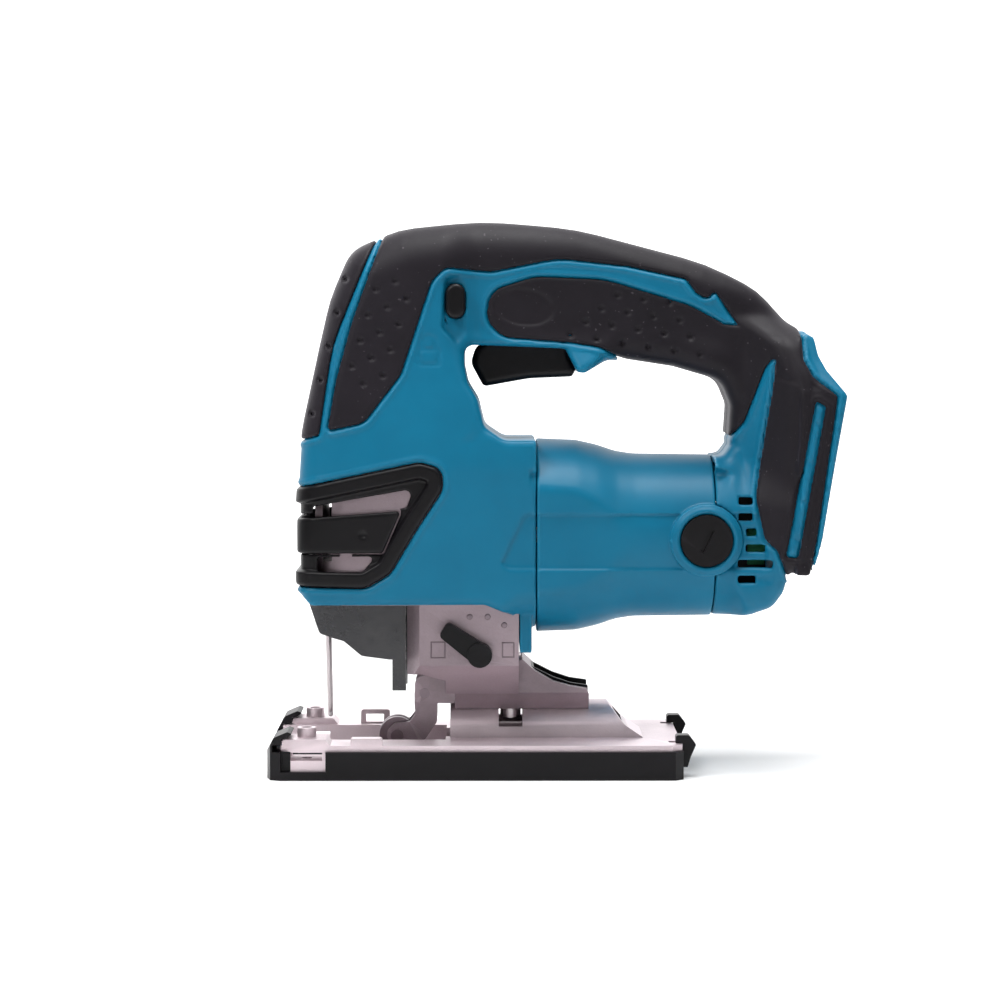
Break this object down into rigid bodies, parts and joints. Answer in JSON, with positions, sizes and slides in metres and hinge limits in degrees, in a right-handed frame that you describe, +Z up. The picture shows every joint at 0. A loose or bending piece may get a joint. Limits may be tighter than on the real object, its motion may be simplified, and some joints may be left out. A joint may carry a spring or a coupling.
{
  "type": "cordless jigsaw",
  "caption": "Cordless D-handle jigsaw without battery or blade: tilting housing on a slotted shoe, tool-free blade clamp, orbital lever and slide-on battery mount.",
  "frame": {"origin": "centre of the footprint, on the plane the sole rests on", "axes": "+X towards the battery mount, -X towards the blade end; -Y is the side with the orbital lever; +Z up"},
  "size_m": [0.2189, 0.077, 0.2114],
  "materials": {
    "teal_plastic": "fine-grained moulded nylon",
    "black_plastic": "satin moulded",
    "elastomer": "matte overmoulded grip",
    "smoked_plastic": "smoked clear",
    "clear_plastic": "clear",
    "cast_aluminium": "as cast, fine blasted",
    "steel": "ground",
    "dark_steel": "blackened",
    "brass": "plain",
    "bronze": "sintered",
    "copper": "enamelled copper",
    "carbon": "pressed carbon",
    "ferrite": "sintered ferrite",
    "lamination": "stacked laminations"
  },
  "bodies": {
    "base": {"base_shoe": "cast_aluminium", "cover_plate": "black_plastic"},
    "clamp_carriage": {"bevel_clamp_plate": "steel"},
    "housing": {"gear_housing": "cast_aluminium", "gear_housing_cover": "cast_aluminium", "gear_housing_screws": "steel", "bevel_bolt": "steel", "bevel_washer": "steel", "dust_duct": "black_plastic", "housing_left": "teal_plastic", "housing_right": "teal_plastic", "housing_screws": "steel", "motor_housing": "teal_plastic", "grip_left": "elastomer", "grip_right": "elastomer", "nose_frame_left": "black_plastic", "nose_frame_right": "black_plastic", "lamp_lens": "clear_plastic", "guard_wire": "steel", "switch_body": "black_plastic", "terminal_block": "black_plastic", "battery_terminals": "brass", "lead_wires": "black_plastic", "motor_can": "steel", "magnets": "ferrite", "front_bearing": "steel", "rear_bearing": "steel", "brush_holders": "brass", "carbon_brushes": "carbon", "brush_springs": "steel", "brush_caps": "black_plastic", "upper_bushing": "bronze", "lower_bushing": "bronze", "gear_spindle": "steel", "roller_arm_pin": "steel", "trigger_pin": "steel", "release_lever_pin": "steel"},
    "trigger": {"trigger": "black_plastic"},
    "lock_button": {"lock_button": "black_plastic"},
    "orbital_lever": {"orbital_lever": "black_plastic"},
    "release_lever": {"release_lever": "black_plastic"},
    "dust_cover": {"dust_cover": "smoked_plastic"},
    "plunger": {"plunger_rod": "steel", "yoke": "steel", "slider_block": "steel", "blade_clamp_body": "dark_steel", "clamp_spring": "steel"},
    "clamp_sleeve": {"clamp_sleeve": "dark_steel"},
    "armature": {"armature_shaft": "steel", "armature_core": "lamination", "armature_windings": "copper", "commutator": "copper", "cooling_fan": "black_plastic"},
    "drive_gear": {"drive_gear": "steel", "crank_pin": "steel"},
    "roller_arm": {"roller_arm": "dark_steel", "roller_pin": "dark_steel"},
    "guide_roller": {"guide_roller": "dark_steel"}
  },
  "joints": [
    {"name": "base_slide", "type": "slide", "parent": "base", "child": "clamp_carriage", "axis": [-1, 0, 0], "range_m": [0, 0.015]},
    {"name": "bevel_tilt", "type": "hinge", "parent": "clamp_carriage", "child": "housing", "pos_m": [0, 0, 0.011], "axis": [-1, 0, 0], "range_deg": [-45, 45]},
    {"name": "trigger_pull", "type": "hinge", "parent": "housing", "child": "trigger", "pos_m": [0.003, 0, 0.166], "axis": [0, 1, 0], "range_deg": [0, 7], "stiffness_Nm_per_rad": 1.2, "springref_deg": -14.32},
    {"name": "lock_button_push", "type": "slide", "parent": "housing", "child": "lock_button", "axis": [0, 1, 0], "range_m": [0, 0.004]},
    {"name": "orbital_lever_turn", "type": "hinge", "parent": "housing", "child": "orbital_lever", "pos_m": [-0.0289, -0.028, 0.0465], "axis": [0, 1, 0], "range_deg": [0, 82.5]},
    {"name": "release_lever_swing", "type": "hinge", "parent": "housing", "child": "release_lever", "pos_m": [-0.08, 0.0308, 0.091], "axis": [0, 0, -1], "range_deg": [0, 45], "stiffness_Nm_per_rad": 0.05, "springref_deg": -5.73},
    {"name": "dust_cover_slide", "type": "slide", "parent": "housing", "child": "dust_cover", "axis": [0, 0, -1], "range_m": [0, 0.0075]},
    {"name": "plunger_slide", "type": "slide", "parent": "housing", "child": "plunger", "axis": [0, 0, -1], "range_m": [0, 0.026]},
    {"name": "clamp_sleeve_turn", "type": "hinge", "parent": "plunger", "child": "clamp_sleeve", "pos_m": [-0.07, 0, 0.053], "axis": [0, 0, -1], "range_deg": [0, 68]},
    {"name": "gear_spin", "type": "hinge", "parent": "housing", "child": "drive_gear", "pos_m": [-0.046, 0, 0.1186], "axis": [1, 0, 0], "continuous": true},
    {"name": "armature_spin", "type": "hinge", "parent": "housing", "child": "armature", "pos_m": [0.02, 0, 0.0902], "axis": [1, 0, 0], "continuous": true},
    {"name": "roller_arm_swing", "type": "hinge", "parent": "housing", "child": "roller_arm", "pos_m": [-0.0502, 0, 0.0295], "axis": [0, 1, 0], "range_deg": [0, 4]},
    {"name": "guide_roller_spin", "type": "hinge", "parent": "roller_arm", "child": "guide_roller", "pos_m": [-0.0609, 0, 0.0126], "axis": [0, 1, 0], "continuous": true}
  ],
  "couplings": [
    {"joint": "clamp_sleeve_turn", "follows": "release_lever_swing", "ratio": 1.5},
    {"joint": "gear_spin", "follows": "armature_spin", "ratio": -0.14516}
  ]
}
